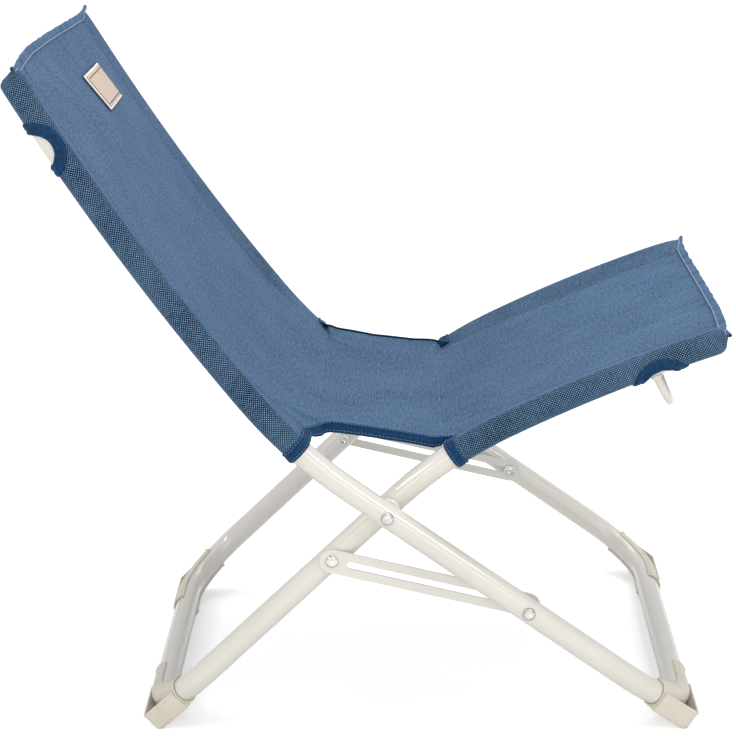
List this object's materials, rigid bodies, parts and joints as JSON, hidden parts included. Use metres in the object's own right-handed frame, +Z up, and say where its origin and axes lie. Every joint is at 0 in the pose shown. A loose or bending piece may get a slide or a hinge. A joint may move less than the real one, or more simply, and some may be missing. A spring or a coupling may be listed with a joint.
{
  "type": "beach chair",
  "caption": "Low folding beach chair: crossed bent tube frames with a woven mesh sling and slotted side stays.",
  "frame": {"origin": "middle of the overall box, at ground level", "axes": "+X to the front of the chair, +Y to the sitter's left, +Z up"},
  "size_m": [0.7184, 0.5456, 0.7023],
  "materials": {
    "powder_coat": "cream powder coat, satin",
    "stay_paint": "cream powder coat on flat bar",
    "zinc": "bright zinc plated rivets",
    "shoe_plastic": "beige moulded plastic",
    "spacer_plastic": "off-white moulded plastic",
    "mesh_cloth": "slate blue woven mesh with navy side pockets",
    "label_cloth": "plain sewn label"
  },
  "bodies": {
    "back_frame": {"back_frame_tube": "powder_coat", "back_cross_bar": "powder_coat", "sling_back": "mesh_cloth", "sling_hip": "mesh_cloth", "label_patch": "label_cloth", "back_plug_left": "shoe_plastic", "front_shoe_left": "shoe_plastic", "pivot_rivet_left": "zinc", "pivot_spacer_left": "spacer_plastic", "slide_pin_left": "zinc", "back_plug_right": "shoe_plastic", "front_shoe_right": "shoe_plastic", "pivot_rivet_right": "zinc", "pivot_spacer_right": "spacer_plastic", "slide_pin_right": "zinc"},
    "seat_frame": {"seat_frame_tube": "powder_coat", "seat_cross_bar": "powder_coat", "sling_seat": "mesh_cloth", "seat_plug_left": "shoe_plastic", "rear_shoe_left": "shoe_plastic", "stay_rivet_left": "zinc", "seat_plug_right": "shoe_plastic", "rear_shoe_right": "shoe_plastic", "stay_rivet_right": "zinc"},
    "stay_left": {"stay_left_bar": "stay_paint"},
    "runner_left": {"slide_runner_left": "zinc"},
    "stay_right": {"stay_right_bar": "stay_paint"},
    "runner_right": {"slide_runner_right": "zinc"}
  },
  "joints": [
    {"name": "fold", "type": "hinge", "parent": "back_frame", "child": "seat_frame", "pos_m": [0.0068, 0, 0.2366], "axis": [0, -1, 0], "range_deg": [0, 85], "deforming": ["sling_hip"]},
    {"name": "stay_left_turn", "type": "hinge", "parent": "seat_frame", "child": "stay_left", "pos_m": [-0.05113, 0.2399, 0.18437], "axis": [0, -1, 0], "range_deg": [-96, 0.5]},
    {"name": "runner_left_slide", "type": "slide", "parent": "stay_left", "child": "runner_left", "axis": [0.9677, 0, -0.2523], "range_m": [-0.104, 0.0005]},
    {"name": "stay_right_turn", "type": "hinge", "parent": "seat_frame", "child": "stay_right", "pos_m": [-0.05113, -0.2399, 0.18437], "axis": [0, -1, 0], "range_deg": [-96, 0.5]},
    {"name": "runner_right_slide", "type": "slide", "parent": "stay_right", "child": "runner_right", "axis": [0.9677, 0, -0.2523], "range_m": [-0.104, 0.0005]}
  ],
  "couplings": [
    {"joint": "stay_left_turn", "follows": "fold", "ratio": -1.1124},
    {"joint": "runner_left_slide", "follows": "fold", "m_per_rad": -0.06919},
    {"joint": "stay_right_turn", "follows": "fold", "ratio": -1.1124},
    {"joint": "runner_right_slide", "follows": "fold", "m_per_rad": -0.06919}
  ]
}
